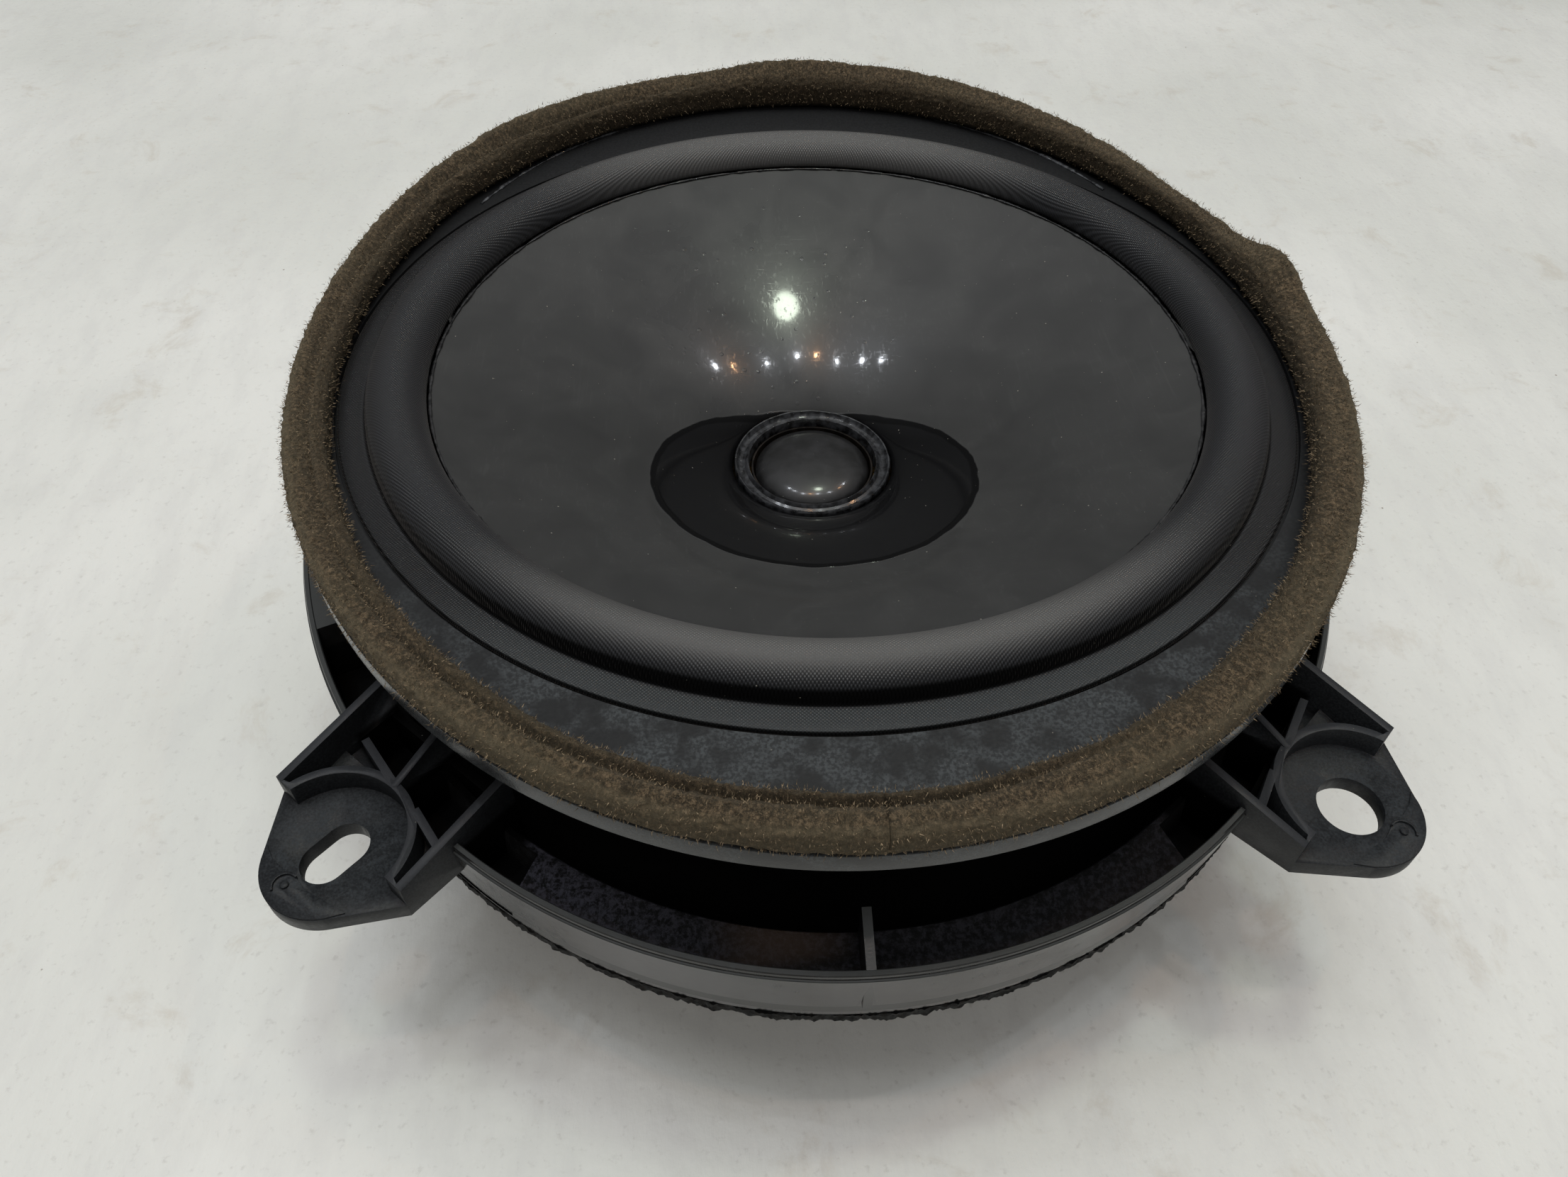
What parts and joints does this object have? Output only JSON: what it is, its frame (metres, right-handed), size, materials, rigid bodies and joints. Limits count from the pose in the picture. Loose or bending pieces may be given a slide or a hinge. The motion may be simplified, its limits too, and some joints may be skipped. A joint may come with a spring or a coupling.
{
  "type": "car door loudspeaker",
  "caption": "Round-cone car door loudspeaker in an oval plastic basket with screw ears, foam gaskets, ferrite motor, plug socket and a sprung moving cone.",
  "frame": {"origin": "centre of the motor's flat back face, the face that the speaker stands on", "axes": "+Z along the cone's axis, out of the front of the speaker; +Y along the long axis of the oval, towards the plug socket; +X along the short axis"},
  "size_m": [0.1684, 0.19, 0.069],
  "materials": {
    "plastic": "satin black moulded plastic with pale scuffs",
    "cone": "glossy black cone with fine scratches and dust",
    "cloth": "woven black cloth with a faint sheen",
    "foam": "olive-brown open-cell foam",
    "gasket": "ragged black foam strip",
    "glue": "grey translucent glue",
    "steel": "zinc-plated steel",
    "ferrite": "dark ground ferrite",
    "copper": "copper",
    "spider": "yellow-brown impregnated cloth",
    "film": "dark heat-proof film"
  },
  "bodies": {
    "speaker_frame": {"back_yoke": "steel", "magnet_ring": "ferrite", "top_plate": "steel", "motor_rivet_1": "steel", "motor_rivet_2": "steel", "motor_rivet_3": "steel", "motor_rivet_4": "steel", "basket_cage": "plastic", "basket_rim": "plastic", "mounting_ring": "plastic", "mounting_ear_front_left": "plastic", "mounting_ear_front_right": "plastic", "mounting_ear_rear_left": "plastic", "mounting_ear_rear_right": "plastic", "front_foam_gasket": "foam", "base_gasket": "gasket", "surround": "cloth", "spider": "spider", "connector_housing": "plastic", "terminal_pin_1": "steel", "terminal_pin_2": "steel", "solder_tag_1": "copper", "solder_tag_2": "copper", "tinsel_lead_1": "copper", "tinsel_lead_2": "copper"},
    "cone_assembly": {"cone": "cone", "neck_ring": "glue", "coil_former": "film", "voice_coil": "copper", "dust_cap": "cone"}
  },
  "joints": [
    {"name": "cone_travel", "type": "slide", "parent": "speaker_frame", "child": "cone_assembly", "axis": [0, 0, 1], "range_m": [-0.004, 0.004], "stiffness_N_per_m": 2200, "deforming": ["surround", "spider", "tinsel_lead_1", "tinsel_lead_2"]}
  ]
}
